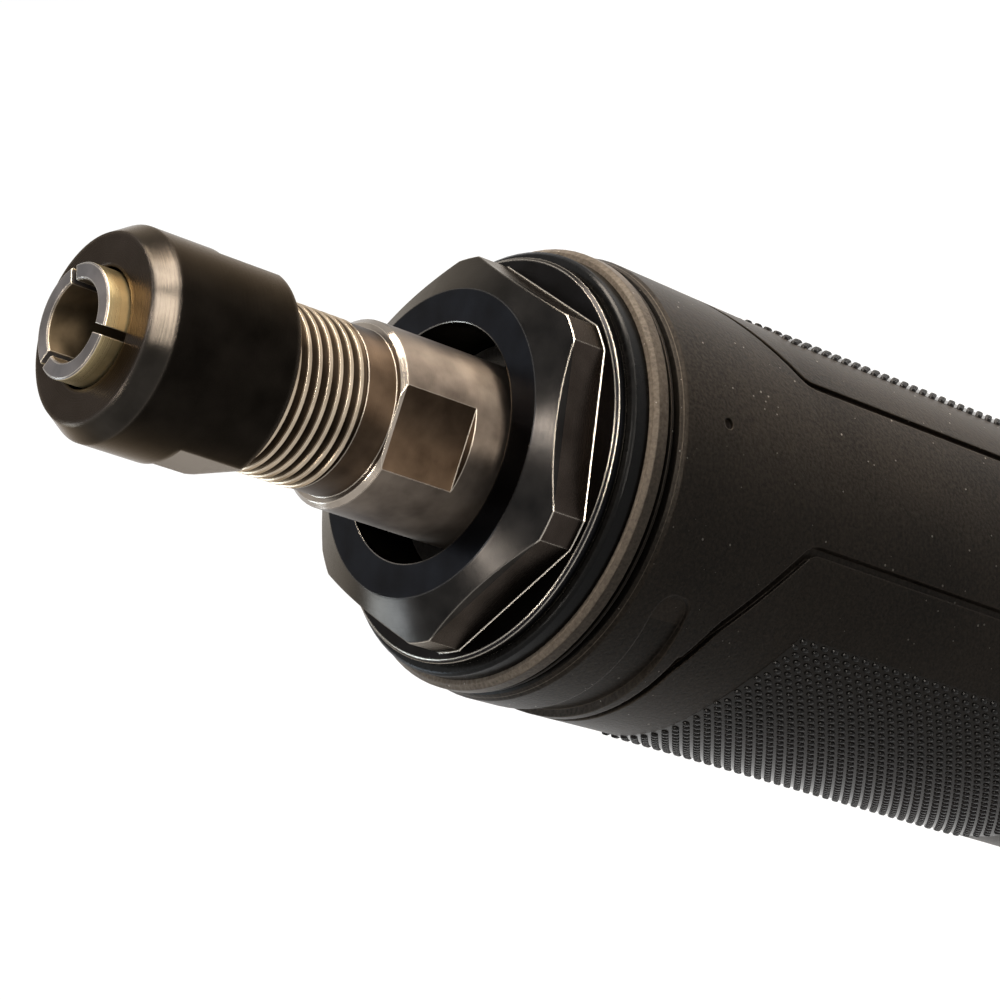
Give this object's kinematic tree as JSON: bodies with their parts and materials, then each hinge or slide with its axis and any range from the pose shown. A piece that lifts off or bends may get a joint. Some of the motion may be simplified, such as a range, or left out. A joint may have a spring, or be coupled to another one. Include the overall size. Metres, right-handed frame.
{
  "type": "straight grinder",
  "caption": "Cordless straight grinder with a long rubber-sleeved neck, slit collet and nut, hexagon bearing cap, motor housing with a slide switch and a slide-on battery.",
  "frame": {"origin": "on the spindle axis, in the plane of the battery's base that the tool stands on", "axes": "+Z along the spindle and out of the collet, +X to the tool's top with the switch, +Y to its right side"},
  "size_m": [0.116, 0.0762, 0.4],
  "materials": {
    "black_steel": "black oxide, satin",
    "ground_steel": "ground",
    "bearing_steel": "polished",
    "sleeve_rubber": "matt, fine grain",
    "grip_rubber": "matt",
    "spider_rubber": "matt",
    "felt": "pressed felt",
    "neck_aluminium": "die cast",
    "neck_paint": "gloss black over die-cast aluminium",
    "housing_plastic": "fine spark-eroded grain",
    "black_plastic": "satin",
    "knob_plastic": "satin",
    "screw_steel": "black",
    "lamination": "stamped stack",
    "copper": "lacquered wire",
    "magnet": "nickel plated",
    "board": "lacquered",
    "battery_plastic": "fine grain",
    "cell_wrap": "shrink wrap",
    "nickel": "bright strip"
  },
  "bodies": {
    "tool_body": {"bearing_cap": "black_steel", "dust_seal": "felt", "neck": "neck_paint", "rubber_sleeve": "sleeve_rubber", "preload_washer": "bearing_steel", "stator": "lamination", "stator_coils": "copper", "motor_shield": "neck_aluminium", "motor_bracket": "black_plastic", "neck_screws": "screw_steel", "housing_left": "housing_plastic", "housing_right": "housing_plastic", "housing_screws": "screw_steel", "grip_left": "grip_rubber", "grip_right": "grip_rubber", "switch_board": "board", "microswitch": "black_plastic", "potentiometer": "black_plastic", "terminal_block": "black_plastic", "terminal_blades": "nickel", "control_module": "black_plastic", "front_bearing_outer_race": "bearing_steel", "rear_bearing_outer_race": "bearing_steel", "motor_front_bearing_outer_race": "bearing_steel", "motor_rear_bearing_outer_race": "bearing_steel"},
    "spindle": {"spindle": "ground_steel", "spacer_tube": "bearing_steel", "circlip": "bearing_steel", "spindle_hub": "bearing_steel", "coupling_spider": "spider_rubber", "motor_hub": "bearing_steel", "motor_shaft": "bearing_steel", "rotor_core": "lamination", "rotor_magnets": "magnet", "cooling_fan": "black_plastic", "front_bearing_inner_race": "bearing_steel", "rear_bearing_inner_race": "bearing_steel", "motor_front_bearing_inner_race": "bearing_steel", "motor_rear_bearing_inner_race": "bearing_steel"},
    "front_balls": {"front_bearing_balls": "bearing_steel"},
    "rear_balls": {"rear_bearing_balls": "bearing_steel"},
    "motor_front_balls": {"motor_front_bearing_balls": "bearing_steel"},
    "motor_rear_balls": {"motor_rear_bearing_balls": "bearing_steel"},
    "collet": {"collet": "ground_steel"},
    "collet_nut": {"collet_nut": "black_steel"},
    "switch": {"switch_knob": "knob_plastic", "switch_rod": "black_plastic"},
    "speed_dial": {"speed_dial": "black_plastic"},
    "battery": {"battery_base": "battery_plastic", "battery_lid": "battery_plastic", "battery_cells": "cell_wrap", "cell_holders": "black_plastic", "cell_strips": "nickel", "battery_board": "board", "battery_clips": "nickel", "battery_screws": "screw_steel"},
    "release_latch": {"release_latch": "knob_plastic"}
  },
  "joints": [
    {"name": "spindle_spin", "type": "hinge", "parent": "tool_body", "child": "spindle", "pos_m": [0, 0, 0.3], "axis": [0, 0, 1], "continuous": true},
    {"name": "front_balls_orbit", "type": "hinge", "parent": "tool_body", "child": "front_balls", "pos_m": [0, 0, 0.3375], "axis": [0, 0, 1], "continuous": true},
    {"name": "rear_balls_orbit", "type": "hinge", "parent": "tool_body", "child": "rear_balls", "pos_m": [0, 0, 0.236], "axis": [0, 0, 1], "continuous": true},
    {"name": "motor_front_balls_orbit", "type": "hinge", "parent": "tool_body", "child": "motor_front_balls", "pos_m": [0, 0, 0.197], "axis": [0, 0, 1], "continuous": true},
    {"name": "motor_rear_balls_orbit", "type": "hinge", "parent": "tool_body", "child": "motor_rear_balls", "pos_m": [0, 0, 0.1216], "axis": [0, 0, 1], "continuous": true},
    {"name": "collet_draw", "type": "slide", "parent": "spindle", "child": "collet", "axis": [0, 0, 1], "range_m": [0, 0.00875]},
    {"name": "nut_turn", "type": "hinge", "parent": "collet", "child": "collet_nut", "pos_m": [0, 0, 0.39], "axis": [0, 0, 1], "range_deg": [0, 2521]},
    {"name": "switch_slide", "type": "slide", "parent": "tool_body", "child": "switch", "axis": [0, 0, 1], "range_m": [0, 0.008], "stiffness_N_per_m": 200},
    {"name": "dial_turn", "type": "hinge", "parent": "tool_body", "child": "speed_dial", "pos_m": [0.0354, 0, 0.0994], "axis": [0, 1, 0], "range_deg": [0, 270]},
    {"name": "battery_slide", "type": "slide", "parent": "tool_body", "child": "battery", "axis": [-1, 0, 0], "range_m": [0, 0.09]},
    {"name": "latch_press", "type": "slide", "parent": "battery", "child": "release_latch", "axis": [0, 0, -1], "range_m": [0, 0.004], "stiffness_N_per_m": 800}
  ],
  "couplings": [
    {"joint": "front_balls_orbit", "follows": "spindle_spin", "ratio": 0.39872},
    {"joint": "rear_balls_orbit", "follows": "spindle_spin", "ratio": 0.388},
    {"joint": "motor_front_balls_orbit", "follows": "spindle_spin", "ratio": 0.36933},
    {"joint": "motor_rear_balls_orbit", "follows": "spindle_spin", "ratio": 0.36933},
    {"joint": "nut_turn", "follows": "collet_draw", "rad_per_m": 5026.5}
  ]
}
